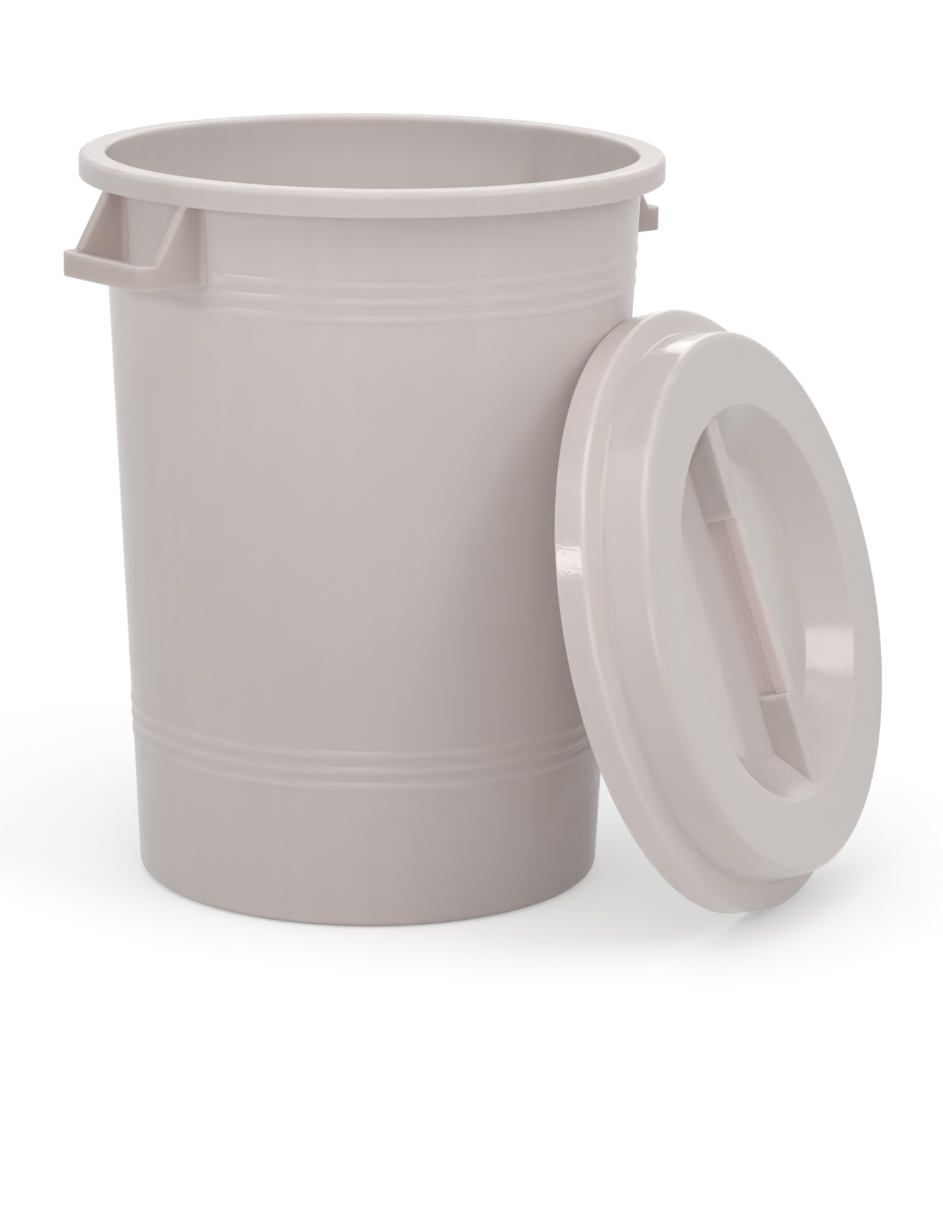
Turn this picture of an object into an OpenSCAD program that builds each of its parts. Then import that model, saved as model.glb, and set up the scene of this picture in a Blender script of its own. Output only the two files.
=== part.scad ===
// Open plastic drum with two side handles, and its lid taken off and leaning against it.
// Millimetres, +Z up. The origin is the centre of the drum's base, on the floor,
// and the handles point along +X and -X.

/* [Drum wall] */
// Outside diameter of the rim
rim_d = 472; // [420:1:560]
// Height from the floor to the top of the rim
drum_h = 596; // [520:1:700]
// How far the rim stands out from the wall
rim_overhang = 19; // [14:0.5:26]
// How much smaller the wall's radius is at the base than under the rim
wall_taper = 27.6; // [10:0.1:40]
// Thickness of the wall, the base and the rim
wall_t = 3.5; // [2.5:0.1:5]
// Radius of the edge where the wall turns into the base
base_edge_r = 9; // [6:0.5:14]

/* [Rim] */
// Height of the rim's turned-down band
rim_drop = 20; // [14:0.5:28]
// Radius of the rim's outer top edge
rim_edge_r = 5; // [2:0.5:8]
// Radius of the rim's inner top edge
mouth_edge_r = 3; // [1.5:0.5:5]

/* [Base] */
// Diameter of the flat middle of the base
base_pad_d = 210; // [150:1:240]
// Width of the raised ring round the flat middle
base_ring_w = 40; // [24:1:50]
// How high the raised ring stands off the floor
base_ring_h = 4; // [2:0.5:7]

/* [Hoops] */
// Number of hoops in each band
hoop_n = 3; // [2:1:4]
// Distance from one hoop to the next
hoop_pitch = 13; // [10:0.5:16]
// Height of one hoop on the wall
hoop_w = 8.5; // [5:0.5:9.5]
// How far a hoop stands out from the wall
hoop_out = 0.9; // [0.5:0.1:2]
// From the rim's top down to the middle of the upper band
hoop_top_drop = 89; // [84:1:130]
// From the floor up to the middle of the lower band
hoop_low_h = 131; // [70:1:200]

/* [Handles] */
// Overall width of a handle
handle_w = 108; // [90:1:130]
// How far the grip bar's outer face stands out from the top of the wall
handle_reach = 54; // [48:1:64]
// Thickness of the grip bar and of the side plates
handle_t = 9; // [7:0.5:10]
// Outside radius of the corners where the bar turns into the side plates
handle_corner_r = 10; // [10:0.5:18]
// Height of the grip bar
grip_h = 19.5; // [14:0.5:26]
// From the rim's lower edge down to the top of the grip bar
grip_drop = 43; // [34:1:60]
// From the bar's outer face back to the foot of a side plate's sloped edge
plate_foot = 15; // [12:0.5:22]
// Radius of the handle's edges
handle_edge_r = 1.5; // [1:0.5:3]

/* [Lid shell] */
// Gap all round between the rim and the lid's skirt when the lid is on
lid_clearance = 3; // [1:0.5:5]
// Thickness of the lid's skirt
skirt_t = 5; // [3.5:0.5:7]
// Height of the skirt, from its open edge to the flange
skirt_h = 26; // [22:0.5:34]
// Thickness of the rest of the lid
lid_t = 3.5; // [2.5:0.1:4.5]
// Radius of the skirt's upper edge
skirt_edge_r = 4; // [2:0.5:6]
// Width of the flange, from the skirt's outer face to the foot of the riser
flange_w = 20; // [14:0.5:24]
// How much higher the flange is at the riser than at the skirt
flange_rise = 3; // [0.5:0.5:5]
// Height of the riser, from the flange to the flat ring
riser_h = 37; // [28:0.5:44]
// How much the riser leans inwards over its height
riser_draft = 5.5; // [4:0.5:14]
// Radius of the edge between the riser and the flat ring
riser_edge_r = 6; // [4.5:0.5:9]
// Radius of the corner between the flange and the riser
riser_corner_r = 4; // [2:0.5:6]
// Width of the flat ring between the riser and the bowl
ring_w = 58; // [46:1:70]
// Depth of the bowl below the flat ring
bowl_depth = 31; // [24:0.5:35]
// How much the bowl's wall slopes inwards on its way down
bowl_slope = 35; // [24:0.5:44]
// Radius of the edge round the bowl's mouth
bowl_edge_r = 4; // [2:0.5:6]
// Radius of the corner between the bowl's wall and its floor
bowl_floor_r = 6; // [4:0.5:10]

/* [Lid bar] */
// Width of the grip bar across the bowl
bar_w = 20; // [18:0.5:26]
// How far the bar's top lies below the flat ring
bar_drop = 4.5; // [3:0.5:9]
// Radius of the bar's long edges
bar_edge_r = 3; // [1.5:0.5:3]
// Length of the finger pockets in the middle of the bar
pocket_l = 152; // [110:1:180]
// How far the bar's edge is set back above a pocket
pocket_setback = 3; // [2:0.5:4]
// Thickness of the lip over a pocket
pocket_lip = 11.5; // [6:0.5:13]
// Thickness of the web left between the two pockets
pocket_web = 5; // [4:0.5:7]

/* [How the lid lies] */
// Direction in which the lid faces, anticlockwise from +X
lid_side = -66.3; // [-75:0.1:-50]
// How far the lid leans back from upright
lid_lean = 15.1; // [10:0.1:25]
// How far the lid stands to one side of the drum's middle
lid_shift = 43.5; // [0:0.5:60]
// Turn of the bar from upright, seen from the front of the lid
bar_turn = 9.5; // [-20:0.5:20]
// Gap left where the lid leans on the drum
lean_gap = 0.3; // [0.2:0.05:0.5]

/* [Hidden] */
$fn = 96;

rim_r = rim_d / 2;
wall_top_r = rim_r - rim_overhang;
wall_base_r = wall_top_r - wall_taper;
rim_low_z = drum_h - rim_drop;
rim_under_z = drum_h - wall_t;
base_pad_r = base_pad_d / 2;
base_ring_r = base_pad_r + base_ring_w;

grip_top_z = rim_low_z - grip_drop;
grip_z = grip_top_z - grip_h;
grip_out_r = wall_top_r + handle_reach;
plate_foot_r = grip_out_r - plate_foot;
// The webs in the rim's channel end in the middle of the rim band's thickness
rim_web_r = rim_r - wall_t / 2;
// The sloped edge comes down from the rim's outer face, at the plate's outer side
plate_top_r = sqrt(rim_r * rim_r - handle_w * handle_w / 4);
plate_slope = atan((plate_foot_r - plate_top_r) / grip_drop);
plate_edge_r = handle_edge_r + 1;
// A side plate goes no further out than the start of the grip's corner
plate_out_r = min(plate_foot_r, grip_out_r - handle_corner_r);
plate_in_r = wall_base_r - wall_t;
plate_h = grip_h + grip_drop + wall_t / 2;

lid_r = rim_r + lid_clearance + skirt_t;
skirt_in_r = rim_r + lid_clearance;
skirt_round = 1.5;
riser_foot_r = lid_r - flange_w;
riser_foot_z = skirt_h + flange_rise;
ring_z = riser_foot_z + riser_h;
riser_top_r = riser_foot_r - riser_draft;
bowl_mouth_r = riser_top_r - ring_w;
bowl_floor_z = ring_z - bowl_depth;
bowl_foot_r = bowl_mouth_r - bowl_slope;
bar_top = bowl_depth - bar_drop;
// Half the bar's width at the lip, and the radius of the hollow that leaves the lip and the web
lip_w = bar_w / 2 - pocket_setback;
hollow_run = lip_w - pocket_web / 2;
hollow_h = bar_top - pocket_lip;
hollow_r = hollow_run + hollow_h - sqrt(2 * hollow_run * hollow_h);
hollow_x = pocket_web / 2 + hollow_r;

// Radius of the wall's outside at a height above the floor
function wall_r(z) = wall_base_r + wall_taper * z / rim_low_z;

// Points along an arc, from angle a0 to angle a1
function arc(x, y, r, a0, a1, n) =
    [for (i = [0 : n]) let (a = a0 + (a1 - a0) * i / n) [x + r * cos(a), y + r * sin(a)]];

// One rounded hoop, bottom to top, on the sloping wall
function hoop(z) =
    [for (i = [0 : 8]) let (h = z + hoop_w * (i / 8 - 0.5)) [wall_r(h) + hoop_out * sin(22.5 * i), h]];

// A band of hoops centred on a height
function hoop_band(z) =
    [for (k = [0 : hoop_n - 1]) each hoop(z + (k - (hoop_n - 1) / 2) * hoop_pitch)];

// The most that the drum stands out at a height, handles apart
function drum_reach(z) =
    z > rim_low_z ? rim_r
    : abs(z - drum_h + hoop_top_drop) < hoop_n * hoop_pitch / 2 ? wall_r(z) + hoop_out
    : abs(z - hoop_low_h) < hoop_n * hoop_pitch / 2 ? wall_r(z) + hoop_out
    : wall_r(z);

// Half outline of the drum's outside, with the channel under its rim
drum_outline = concat(
    [[0, 0], [base_pad_r, 0], [base_pad_r + base_ring_h, base_ring_h]],
    [[base_ring_r - base_ring_h, base_ring_h], [base_ring_r, 0]],
    arc(wall_r(base_edge_r) - base_edge_r, base_edge_r, base_edge_r, -90, -3, 8),
    hoop_band(hoop_low_h),
    hoop_band(drum_h - hoop_top_drop),
    [[wall_r(rim_under_z), rim_under_z], [rim_r - wall_t, rim_under_z]],
    arc(rim_r - wall_t / 2, rim_low_z + wall_t / 2, wall_t / 2, 180, 360, 8),
    arc(rim_r - rim_edge_r, drum_h - rim_edge_r, rim_edge_r, 0, 90, 6),
    [[0, drum_h]]
);

// Half outline of the space inside the drum
cavity_outline = concat(
    [[0, wall_t], [base_pad_r + wall_t / 2, wall_t]],
    [[base_pad_r + base_ring_h + wall_t / 2, base_ring_h + wall_t]],
    [[base_ring_r - base_ring_h - wall_t / 2, base_ring_h + wall_t], [base_ring_r - wall_t / 2, wall_t]],
    arc(wall_r(base_edge_r) - base_edge_r, base_edge_r, base_edge_r - wall_t, -90, -3, 6),
    arc(wall_r(drum_h) - wall_t + mouth_edge_r, drum_h - mouth_edge_r, mouth_edge_r, 180, 90, 5),
    [[wall_r(drum_h) - wall_t + mouth_edge_r, drum_h + 1], [0, drum_h + 1]]
);

// Cross-section of the grip bar: its outer face at x = 0 and its lower edge at y = 0
module grip_section() {
    r = handle_edge_r;
    polygon(concat(
        arc(-r, r, r, -90, 0, 5),
        arc(-r, grip_h - r, r, 0, 90, 5),
        arc(r - handle_t, grip_h - r, r, 90, 180, 5),
        arc(r - handle_t, r, r, 180, 270, 5)
    ));
}

// Cross-section of a side plate, with its sloped edge at x = 0, rounded on both sides
module plate_section() {
    r = plate_edge_r;
    inner = handle_reach + handle_t;
    polygon(concat(
        arc(r, r, r, 180, 270, 5),
        [[inner, 0], [inner, handle_t]],
        arc(r, handle_t - r, r, 90, 180, 5)
    ));
}

// Upright section of a side plate, with the same rounded lower edges as the grip bar
module plate_upright() {
    r = handle_edge_r;
    polygon(concat(
        arc(-r, r, r, -90, 0, 5),
        [[0, plate_h], [-handle_t, plate_h]],
        arc(r - handle_t, r, r, 180, 270, 5)
    ));
}

// Grip bar with its two rounded corners and the short arms that run into the side plates
module grip() {
    side = handle_w / 2 - handle_corner_r;
    back = grip_out_r - handle_corner_r;
    start = plate_out_r - 2 * plate_edge_r;
    translate([grip_out_r, side, grip_z]) rotate([90, 0, 0])
        linear_extrude(height = 2 * side) grip_section();
    for (s = [0, 1]) mirror([0, s, 0]) {
        translate([back, side, grip_z]) rotate_extrude(angle = 90)
            translate([handle_corner_r, 0]) grip_section();
        translate([start, handle_w / 2, grip_z]) rotate([90, 0, 90])
            linear_extrude(height = back - start) grip_section();
    }
}

// One side plate: rises from the grip to the rim, with a sloped outer edge
module side_plate() {
    run = plate_h / cos(plate_slope);
    intersection() {
        translate([plate_top_r, handle_w / 2 - handle_t, rim_low_z]) rotate([0, 180 - plate_slope, 0])
            translate([0, 0, -run]) linear_extrude(height = 2 * run) plate_section();
        translate([plate_in_r, handle_w / 2, grip_z]) rotate([90, 0, 90])
            linear_extrude(height = plate_out_r - plate_in_r) plate_upright();
    }
}

// The web above a side plate, across the channel under the rim and halfway into its band
module rim_web() {
    intersection() {
        translate([plate_in_r, handle_w / 2 - handle_t, rim_low_z])
            cube([rim_r - plate_in_r, handle_t, rim_drop - wall_t / 2]);
        translate([0, 0, rim_low_z - rim_drop]) cylinder(r = rim_web_r, h = 2 * rim_drop);
    }
}

module handle() {
    grip();
    for (s = [0, 1]) mirror([0, s, 0]) {
        side_plate();
        rim_web();
    }
}

module drum() {
    color([0.76, 0.73, 0.72]) difference() {
        union() {
            rotate_extrude() polygon(drum_outline);
            for (a = [0, 180]) rotate([0, 0, a]) handle();
        }
        rotate_extrude() polygon(cavity_outline);
    }
}

// Half outline of the lid's shell, open side down, its open edge at z = 0
bowl_angle = atan(bowl_depth / bowl_slope);
riser_angle = atan(riser_h / riser_draft);
// A corner of radius r starts this many times r before the sharp corner
bowl_turn = tan(bowl_angle / 2);
riser_turn = tan(riser_angle / 2);

lid_outline = concat(
    [[0, bowl_floor_z]],
    arc(bowl_foot_r - bowl_floor_r * bowl_turn, bowl_floor_z + bowl_floor_r, bowl_floor_r,
        -90, bowl_angle - 90, 5),
    arc(bowl_mouth_r + bowl_edge_r * bowl_turn, ring_z - bowl_edge_r, bowl_edge_r, 90 + bowl_angle, 90, 5),
    arc(riser_top_r - riser_edge_r * riser_turn, ring_z - riser_edge_r, riser_edge_r,
        90, 90 - riser_angle, 6),
    arc(riser_foot_r + riser_corner_r * riser_turn, riser_foot_z + riser_corner_r, riser_corner_r,
        270 - riser_angle, 270, 5),
    arc(lid_r - skirt_edge_r, skirt_h - skirt_edge_r, skirt_edge_r, 80, 0, 6),
    arc(lid_r - skirt_round, skirt_round, skirt_round, 0, -90, 4),
    [[skirt_in_r, 0], [skirt_in_r, skirt_h - lid_t]],
    [[riser_foot_r - lid_t * riser_turn, riser_foot_z - lid_t]],
    [[riser_top_r - lid_t * riser_turn, ring_z - lid_t]],
    [[bowl_mouth_r + lid_t * bowl_turn, ring_z - lid_t]],
    [[bowl_foot_r + lid_t * bowl_turn, bowl_floor_z - lid_t]],
    [[0, bowl_floor_z - lid_t]]
);

// The space in the bowl, taken halfway into its wall, that the bar fills
bar_space = [
    [0, -lid_t / 2],
    [bowl_foot_r + lid_t / 2 * bowl_turn, -lid_t / 2],
    [bowl_mouth_r + lid_t / 2 * bowl_turn, bowl_depth - lid_t / 2],
    [0, bowl_depth - lid_t / 2]
];

// Cross-section of the bar beyond its pockets, with the bowl's floor at y = 0
module bar_section() {
    w = bar_w / 2;
    r = bar_edge_r;
    polygon(concat(
        [[-w, -lid_t / 2], [w, -lid_t / 2]],
        arc(w - r, bar_top - r, r, 0, 90, 5),
        arc(r - w, bar_top - r, r, 90, 180, 5)
    ));
}

// Cross-section of the bar between its pockets: a lip over a hollow on each side
module pocket_section() {
    r = bar_edge_r;
    lip_a = acos((hollow_x - lip_w) / hollow_r);
    half = concat(
        [[0, -lid_t / 2], [hollow_x, -lid_t / 2]],
        arc(hollow_x, hollow_r, hollow_r, 270, 180 - lip_a, 9),
        arc(lip_w - r, bar_top - r, r, 0, 90, 5),
        [[0, bar_top]]
    );
    polygon(half);
    mirror([1, 0]) polygon(half);
}

module bar() {
    reach = bowl_mouth_r + lid_t;
    intersection() {
        rotate([0, 0, bar_turn]) union() {
            rotate([90, 0, 0]) linear_extrude(height = pocket_l, center = true) pocket_section();
            for (s = [0, 1]) mirror([0, s, 0])
                translate([0, reach, 0]) rotate([90, 0, 0])
                    linear_extrude(height = reach - pocket_l / 2) bar_section();
        }
        rotate_extrude() polygon(bar_space);
    }
}

// The hollow inside the bar beyond each pocket, open to the underside of the lid
module bar_hollow() {
    inner_w = bar_w - 2 * lid_t;
    start = pocket_l / 2 + lid_t;
    rotate([0, 0, bar_turn]) for (s = [0, 1]) mirror([0, s, 0])
        translate([-inner_w / 2, start, -lid_t - 1])
            cube([inner_w, bowl_mouth_r + lid_t - start, bar_top + 1]);
}

// The lid as it would sit on the drum, its open edge at z = 0
module lid_shell() {
    difference() {
        union() {
            rotate_extrude() polygon(lid_outline);
            translate([0, 0, bowl_floor_z]) bar();
        }
        translate([0, 0, bowl_floor_z]) bar_hollow();
    }
}

// The skirt's rounded edge touches the floor and the drum: this is the middle of its rounding
lid_edge_r = lid_r - skirt_round;
lid_z = lid_edge_r * cos(lid_lean) + skirt_round * (1 - sin(lid_lean));

// How far out the lid's middle must be for one point of its edge to clear the drum
function lean_out(a) =
    let (side = lid_shift + lid_edge_r * cos(a))
    let (z = lid_z + lid_edge_r * sin(a) * cos(lid_lean) + skirt_round * sin(lid_lean))
    let (reach = drum_reach(z) + lean_gap + skirt_round)
    lid_edge_r * sin(a) * sin(lid_lean) - skirt_round * cos(lid_lean)
        + (abs(side) < reach ? sqrt(reach * reach - side * side) : 0);

lid_out = max([for (a = [0 : 0.5 : 180]) lean_out(a)]);

module lid() {
    color([0.84, 0.81, 0.80])
        rotate([0, 0, lid_side]) translate([lid_out, lid_shift, lid_z])
            rotate([90 - lid_lean, 0, 90]) lid_shell();
}

drum();
lid();
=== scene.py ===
import math
import bpy
from mathutils import Matrix, Vector

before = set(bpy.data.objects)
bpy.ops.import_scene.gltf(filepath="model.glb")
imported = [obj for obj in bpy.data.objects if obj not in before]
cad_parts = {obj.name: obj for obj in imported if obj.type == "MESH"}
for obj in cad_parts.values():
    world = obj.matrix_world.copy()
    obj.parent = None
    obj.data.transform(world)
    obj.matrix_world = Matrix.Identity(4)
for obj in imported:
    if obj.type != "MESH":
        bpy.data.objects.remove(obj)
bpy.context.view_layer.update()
print("frame loaded:", ", ".join(sorted(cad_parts)))


# Small helpers for building shader node trees
def addNode(tree, kind, place, **settings):
    node = tree.nodes.new(kind)
    node.location = place
    for name, value in settings.items():
        setattr(node, name, value)
    return node


def setInputs(node, **values):
    for name, value in values.items():
        node.inputs[name.replace("_", " ")].default_value = value
    return node


# Fills an input by a link where another socket is given, and by a fixed value elsewhere
def plug(tree, socket, value):
    if isinstance(value, bpy.types.NodeSocket):
        tree.links.new(value, socket)
    else:
        socket.default_value = value


# Fills a node's inputs in their order
def feed(tree, node, *values):
    for socket, value in zip(node.inputs, values):
        plug(tree, socket, value)
    return node


def calc(tree, place, operation, *values):
    return feed(tree, addNode(tree, "ShaderNodeMath", place, operation=operation), *values).outputs[0]


def plainNoise(tree, place, where, scale):
    node = setInputs(addNode(tree, "ShaderNodeTexNoise", place), Detail=0.0)
    plug(tree, node.inputs["Vector"], where)
    plug(tree, node.inputs["Scale"], scale)
    return node.outputs["Fac"]


def newGroup(name, inputs, outputs):
    tree = bpy.data.node_groups.new(name, "ShaderNodeTree")
    for label, kind, value in inputs:
        socket = tree.interface.new_socket(name=label, in_out="INPUT", socket_type=kind)
        socket.default_value = value
    for label, kind in outputs:
        tree.interface.new_socket(name=label, in_out="OUTPUT", socket_type=kind)
    start = addNode(tree, "NodeGroupInput", (-1100, 0))
    end = addNode(tree, "NodeGroupOutput", (700, 0))
    return tree, start.outputs, end


# The skin of moulded plastic: slow mottling, upright flow lines, a varying gloss and a bumpy surface
skinGrain = dict(
    lineScale=70.0, linePull=(1.0, 1.0, 0.04),  # flow lines, drawn out along the wall
    glossScale=28.0,
    waveScale=16.0, waveHeight=0.004,  # long waves of the wall, in metres
    peelScale=420.0, peelHeight=0.0004,  # fine orange-peel, in metres
)


def buildMouldedSkin(grain):
    tree, given, end = newGroup("mouldedSkin", [
        ("Base", "NodeSocketColor", (0.6, 0.54, 0.52, 1)),
        ("Mottle", "NodeSocketFloat", 0.06),
        ("Mottle Scale", "NodeSocketFloat", 7.0),
        ("Streak", "NodeSocketFloat", 0.0),
        ("Gloss", "NodeSocketFloat", 0.3),
        ("Gloss Spread", "NodeSocketFloat", 0.08),
        ("Peel", "NodeSocketFloat", 0.1),
        ("Wave", "NodeSocketFloat", 0.2),
    ], [
        ("Color", "NodeSocketColor"),
        ("Roughness", "NodeSocketFloat"),
        ("Normal", "NodeSocketVector"),
    ])
    spot = addNode(tree, "ShaderNodeTexCoord", (-1100, -300)).outputs["Object"]

    # Mottling and flow lines swing the brightness a little either way
    cloud = plainNoise(tree, (-650, 150), spot, given["Mottle Scale"])
    cloudSwing = calc(tree, (-450, 150), "SUBTRACT", cloud, 0.5)
    mottled = calc(tree, (-280, 150), "MULTIPLY_ADD", cloudSwing, given["Mottle"], 1.0)
    pulled = feed(tree, addNode(tree, "ShaderNodeVectorMath", (-850, 400), operation="MULTIPLY"),
                  spot, grain["linePull"])
    lines = plainNoise(tree, (-650, 400), pulled.outputs[0], grain["lineScale"])
    lineSwing = calc(tree, (-450, 400), "SUBTRACT", lines, 0.5)
    brightness = calc(tree, (-280, 330), "MULTIPLY_ADD", lineSwing, given["Streak"], mottled)
    shade = addNode(tree, "ShaderNodeVectorMath", (-100, 150), operation="SCALE")
    tree.links.new(given["Base"], shade.inputs[0])
    tree.links.new(brightness, shade.inputs["Scale"])
    tree.links.new(shade.outputs[0], end.inputs["Color"])

    gloss = plainNoise(tree, (-650, -80), spot, grain["glossScale"])
    glossSwing = calc(tree, (-450, -80), "SUBTRACT", gloss, 0.5)
    rough = calc(tree, (-280, -80), "MULTIPLY_ADD", glossSwing, given["Gloss Spread"], given["Gloss"])
    tree.links.new(rough, end.inputs["Roughness"])

    # Long waves first, then the fine peel on top
    waves = setInputs(addNode(tree, "ShaderNodeBump", (-100, -350)), Distance=grain["waveHeight"])
    tree.links.new(given["Wave"], waves.inputs["Strength"])
    tree.links.new(plainNoise(tree, (-650, -350), spot, grain["waveScale"]), waves.inputs["Height"])
    peel = setInputs(addNode(tree, "ShaderNodeBump", (150, -350)), Distance=grain["peelHeight"])
    tree.links.new(given["Peel"], peel.inputs["Strength"])
    tree.links.new(plainNoise(tree, (-650, -600), spot, grain["peelScale"]), peel.inputs["Height"])
    tree.links.new(waves.outputs["Normal"], peel.inputs["Normal"])
    tree.links.new(peel.outputs["Normal"], end.inputs["Normal"])
    return tree


mouldedSkin = buildMouldedSkin(skinGrain)


# Marks what stands out from the drum's wall below its rim, the handles, where painted shade darkens the
# colour
def buildPaintedShadeMask():
    tree, given, end = newGroup("paintedShadeMask", [
        ("Wall Radius", "NodeSocketFloat", 0.218),
        ("Fade", "NodeSocketFloat", 0.006),
        ("Top", "NodeSocketFloat", 0.575),
    ], [("Mask", "NodeSocketFloat")])
    spot = addNode(tree, "ShaderNodeTexCoord", (-1100, -300)).outputs["Object"]
    flat = feed(tree, addNode(tree, "ShaderNodeVectorMath", (-700, 100), operation="MULTIPLY"),
                spot, (1.0, 1.0, 0.0))
    radius = feed(tree, addNode(tree, "ShaderNodeVectorMath", (-520, 100), operation="LENGTH"),
                  flat.outputs[0])
    far = calc(tree, (-520, -80), "ADD", given["Wall Radius"], given["Fade"])
    rise = addNode(tree, "ShaderNodeMapRange", (-300, 100), interpolation_type="SMOOTHSTEP")
    tree.links.new(radius.outputs["Value"], rise.inputs["Value"])
    tree.links.new(given["Wall Radius"], rise.inputs["From Min"])
    tree.links.new(far, rise.inputs["From Max"])
    height = feed(tree, addNode(tree, "ShaderNodeSeparateXYZ", (-520, -300)), spot)
    below = calc(tree, (-300, -300), "LESS_THAN", height.outputs["Z"], given["Top"])
    mask = calc(tree, (100, 0), "MULTIPLY", rise.outputs[0], below)
    tree.links.new(mask, end.inputs["Mask"])
    return tree


paintedShadeMask = buildPaintedShadeMask()


# Natural polyethylene: milky, a little pink-grey, under a thin clear gloss
def naturalPlastic(name, look):
    material = bpy.data.materials.new(name)
    material.use_nodes = True
    tree = material.node_tree
    shader = tree.nodes["Principled BSDF"]
    setInputs(shader, IOR=look["bend"], Specular_IOR_Level=look["body"],
              Subsurface_Weight=look["milk"], Subsurface_Scale=look["milkDepth"],
              Subsurface_Radius=look["milkTint"],
              Coat_Weight=look["shine"], Coat_Roughness=look["shineRoughness"])
    skin = addNode(tree, "ShaderNodeGroup", (-400, 100), node_tree=mouldedSkin)
    setInputs(skin, Base=look["base"], Mottle=look["mottle"], Streak=look["streak"],
              Gloss=look["gloss"], Gloss_Spread=look["glossSpread"],
              Peel=look["peel"], Wave=look["wave"])
    color = skin.outputs["Color"]
    # Painted shade: the handles' colour is multiplied by a darker, slightly warm tint
    if "paintedShadeTint" in look:
        handleShadeNode = addNode(tree, "ShaderNodeGroup", (-400, 400), node_tree=paintedShadeMask)
        paintShadeMix = addNode(tree, "ShaderNodeMix", (-180, 300), data_type="RGBA", blend_type="MULTIPLY")
        tree.links.new(handleShadeNode.outputs["Mask"], paintShadeMix.inputs[0])
        tree.links.new(color, paintShadeMix.inputs[6])
        paintShadeMix.inputs[7].default_value = look["paintedShadeTint"]
        color = paintShadeMix.outputs[2]
    tree.links.new(color, shader.inputs["Base Color"])
    tree.links.new(skin.outputs["Roughness"], shader.inputs["Roughness"])
    tree.links.new(skin.outputs["Normal"], shader.inputs["Normal"])
    tree.links.new(skin.outputs["Normal"], shader.inputs["Coat Normal"])
    return material


def finishNode(name, material):
    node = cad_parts[name]
    node.data.materials.clear()
    node.data.materials.append(material)


drumLook = dict(
    base=(0.765, 0.675, 0.647, 1),
    paintedShadeTint=(0.8, 0.79, 0.775, 1),  # painted shade: multiplies the base on the handles, which get less light
    mottle=0.06, streak=0.04,
    gloss=0.36, glossSpread=0.1, body=0.05,  # roughness, its spread, and what the plastic itself mirrors
    shine=0.4, shineRoughness=0.05,  # the thin clear gloss on top
    peel=0.12, wave=0.1,
    bend=1.54, milk=1.0, milkDepth=0.016, milkTint=(0.98, 1.0, 1.02),  # how light spreads inside
)
finishNode("drum", naturalPlastic("drumPlastic", drumLook))

lidLook = dict(
    base=(0.76, 0.67, 0.645, 1),
    mottle=0.05, streak=0.0,
    gloss=0.36, glossSpread=0.1, body=0.15,
    shine=0.9, shineRoughness=0.06,
    peel=0.2, wave=0.2,
    bend=1.54, milk=1.0, milkDepth=0.016, milkTint=(0.98, 1.0, 1.02),
)
finishNode("lid", naturalPlastic("lidPlastic", lidLook))
print("plastic laid on drum and lid")


# Gives 1 where a surface is seen by the camera itself, or mirrored, or through something clear
def seenDirectly(tree, place):
    path = addNode(tree, "ShaderNodeLightPath", place)
    mirrored = calc(tree, (place[0] + 180, place[1]), "MAXIMUM",
                    path.outputs["Is Camera Ray"], path.outputs["Is Glossy Ray"])
    return calc(tree, (place[0] + 360, place[1]), "MAXIMUM",
                mirrored, path.outputs["Is Transmission Ray"])


# A pale floor that keeps the shadow round the drum and fades to white further out
floorLook = dict(
    size=12.0, own=0.82, seenOwn=0.4,  # own colour for the light, and as it is seen
    lift=0.76, contact=0.48, contactReach=0.26,  # what is added where it is seen, less near the drum
    fadeFrom=0.8, fadeTo=1.7, middle=(0.1, -0.1, 0.0),
)


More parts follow.
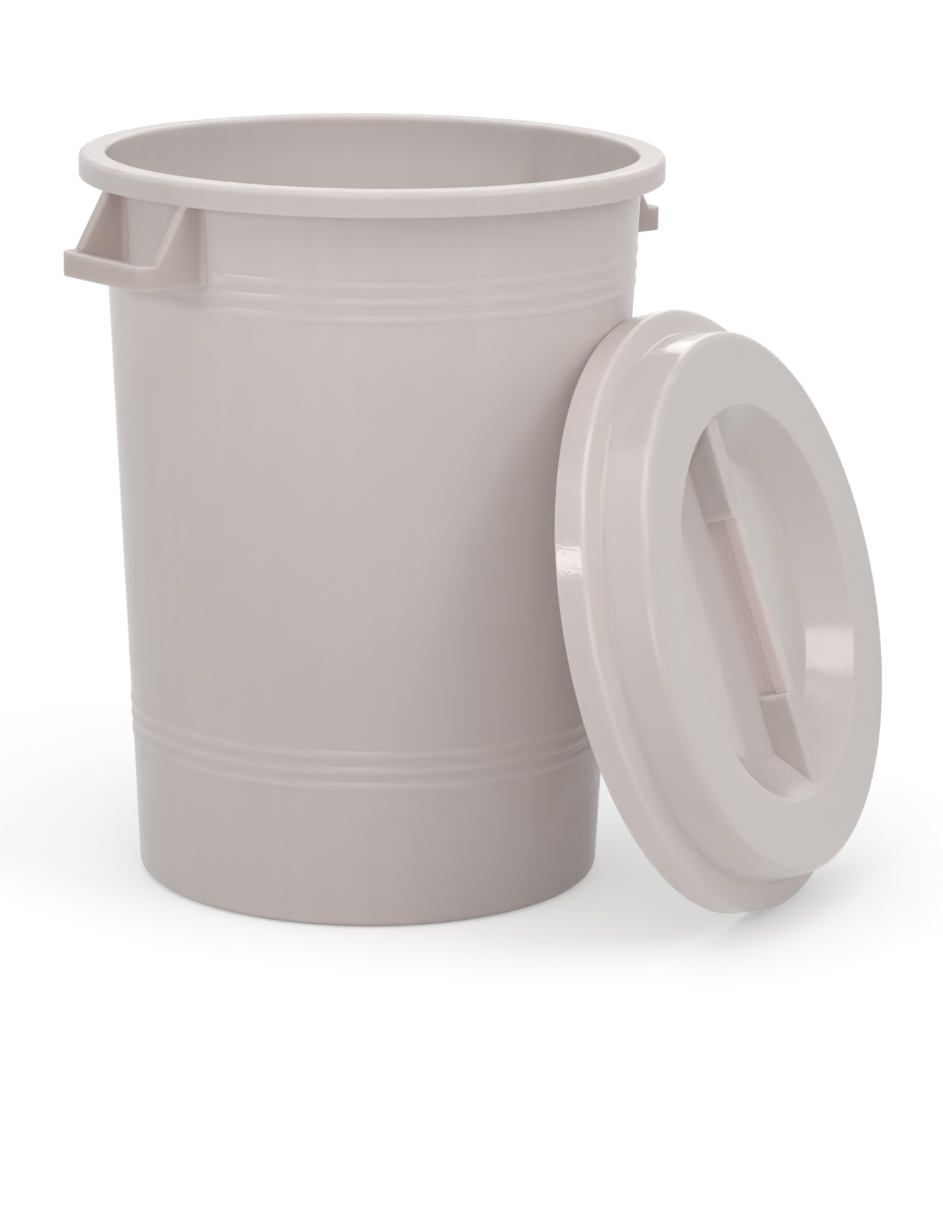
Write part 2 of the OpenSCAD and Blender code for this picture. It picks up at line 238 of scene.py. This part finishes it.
def makeFloor(look):
    half = look["size"] / 2
    corners = [(-half, -half, 0), (half, -half, 0), (half, half, 0), (-half, half, 0)]
    mesh = bpy.data.meshes.new("floor")
    mesh.from_pydata(corners, [], [(0, 1, 2, 3)])
    floor = bpy.data.objects.new("floor", mesh)
    bpy.context.scene.collection.objects.link(floor)
    material = bpy.data.materials.new("floorPaint")
    material.use_nodes = True
    tree = material.node_tree
    tree.nodes.clear()
    direct = seenDirectly(tree, (-1000, 300))

    tone = setInputs(addNode(tree, "ShaderNodeMapRange", (-400, 250)),
                     To_Min=look["own"], To_Max=look["seenOwn"])
    tree.links.new(direct, tone.inputs["Value"])
    paint = feed(tree, addNode(tree, "ShaderNodeBsdfDiffuse", (-100, 200)), tone.outputs[0])
    # The lift is a little less close to the drum and the lid, which keeps a soft shadow there
    near = addNode(tree, "ShaderNodeAmbientOcclusion", (-900, 50), samples=1)
    setInputs(near, Distance=look["contactReach"])
    openness = setInputs(addNode(tree, "ShaderNodeMapRange", (-700, 0)),
                         To_Min=look["lift"] * (1 - look["contact"]), To_Max=look["lift"])
    tree.links.new(near.outputs["AO"], openness.inputs["Value"])
    glow = addNode(tree, "ShaderNodeEmission", (-100, 50))
    lift = calc(tree, (-400, 0), "MULTIPLY", direct, openness.outputs[0])
    tree.links.new(lift, glow.inputs["Strength"])
    close = feed(tree, addNode(tree, "ShaderNodeAddShader", (150, 120)),
                 paint.outputs[0], glow.outputs[0])

    spot = addNode(tree, "ShaderNodeTexCoord", (-900, -250)).outputs["Object"]
    away = feed(tree, addNode(tree, "ShaderNodeVectorMath", (-700, -250), operation="DISTANCE"),
                spot, look["middle"])
    fade = addNode(tree, "ShaderNodeMapRange", (-400, -250), interpolation_type="SMOOTHSTEP")
    setInputs(fade, From_Min=look["fadeFrom"], From_Max=look["fadeTo"])
    tree.links.new(away.outputs["Value"], fade.inputs["Value"])
    whiteness = calc(tree, (-100, -200), "MULTIPLY", fade.outputs[0], direct)
    white = addNode(tree, "ShaderNodeEmission", (150, -100))
    mix = feed(tree, addNode(tree, "ShaderNodeMixShader", (380, 0)),
               whiteness, close.outputs[0], white.outputs[0])
    end = addNode(tree, "ShaderNodeOutputMaterial", (600, 0))
    tree.links.new(mix.outputs[0], end.inputs["Surface"])
    mesh.materials.append(material)


makeFloor(floorLook)
print("floor laid")


# Soft studio light: an even sky and a few softboxes, each placed by its turn and rise from the camera
skyLook = dict(level=0.215, tint=(1.0, 1.0, 1.0, 1))


def makeSky(look):
    world = bpy.data.worlds.new("studio")
    bpy.context.scene.world = world
    world.use_nodes = True
    tree = world.node_tree
    tree.nodes.clear()
    dim = setInputs(addNode(tree, "ShaderNodeBackground", (400, -50)),
                    Color=look["tint"], Strength=look["level"])
    white = setInputs(addNode(tree, "ShaderNodeBackground", (400, -200)),
                      Color=(1, 1, 1, 1), Strength=1.0)
    mix = feed(tree, addNode(tree, "ShaderNodeMixShader", (600, 0)),
               seenDirectly(tree, (-150, 200)), dim.outputs[0], white.outputs[0])
    end = addNode(tree, "ShaderNodeOutputWorld", (800, 0))
    tree.links.new(mix.outputs[0], end.inputs["Surface"])


neutral = (1.0, 1.0, 1.0)
cool = (0.94, 0.97, 1.0)
studio = dict(
    away=2.6, aim=(0.05, -0.1, 0.35),  # every softbox stands this far from the point it faces, in metres
    softboxes=[
        dict(name="softboxHigh", turn=-12, rise=62, size=(1.4, 1.4), watts=13.5, tint=neutral),
        dict(name="softboxRightHigh", turn=62, rise=60, size=(1.4, 1.4), watts=11, tint=neutral),
        dict(name="softboxRight", turn=56, rise=36, size=(0.8, 0.9), watts=9, tint=neutral),
        dict(name="softboxLeftHigh", turn=-98, rise=50, size=(2.0, 2.0), watts=6.8, tint=cool),
        dict(name="softboxLeft", turn=-53, rise=20.5, size=(1.0, 0.36), watts=8, tint=cool),
        dict(name="softboxBack", turn=180, rise=35, size=(1.6, 1.6), watts=9, tint=neutral),
        dict(name="softboxLow", turn=-4, rise=8, size=(1.3, 0.9), watts=9.5, tint=neutral),
    ],
)


def makeSoftbox(box, room, cameraYaw):
    turn, rise = math.radians(box["turn"]), math.radians(box["rise"])
    behind = Vector((-math.sin(cameraYaw), -math.cos(cameraYaw), 0))
    right = Vector((math.cos(cameraYaw), -math.sin(cameraYaw), 0))
    level = behind * math.cos(turn) + right * math.sin(turn)
    way = level * math.cos(rise) + Vector((0, 0, math.sin(rise)))
    light = bpy.data.lights.new(box["name"], "AREA")
    light.shape = "RECTANGLE"
    light.size, light.size_y = box["size"]
    light.energy = box["watts"]
    light.color = box["tint"]
    lamp = bpy.data.objects.new(box["name"], light)
    bpy.context.scene.collection.objects.link(lamp)
    lamp.location = Vector(room["aim"]) + way * room["away"]
    lamp.rotation_euler = (-way).to_track_quat("-Z", "Y").to_euler()


# The camera stands where the photograph was taken from, worked out from the drum's outline in it
cameraPlace = dict(
    at=(-2.2398, -2.7413, 1.0775),
    yaw=0.7088, pitch=0.2396, roll=-0.0122,
    lens=129.5, film=36.0,
)


def makeCamera(place):
    turn, dip, roll = place["yaw"], place["pitch"], place["roll"]
    flat = Vector((math.sin(turn), math.cos(turn), 0))
    ahead = flat * math.cos(dip) - Vector((0, 0, math.sin(dip)))
    level = Vector((math.cos(turn), -math.sin(turn), 0))
    below = ahead.cross(level)
    right = math.cos(roll) * level + math.sin(roll) * below
    down = -math.sin(roll) * level + math.cos(roll) * below
    data = bpy.data.cameras.new("camera")
    data.sensor_fit = "VERTICAL"
    data.sensor_height = place["film"]
    data.sensor_width = place["film"]
    data.lens = place["lens"]
    camera = bpy.data.objects.new("camera", data)
    bpy.context.scene.collection.objects.link(camera)
    axes = Matrix((right, -down, -ahead)).transposed().to_4x4()
    camera.matrix_world = Matrix.Translation(place["at"]) @ axes
    bpy.context.scene.camera = camera


makeCamera(cameraPlace)
makeSky(skyLook)
for box in studio["softboxes"]:
    makeSoftbox(box, studio, cameraPlace["yaw"])
print("studio lit")
bpy.context.scene.view_settings.view_transform = "Standard"
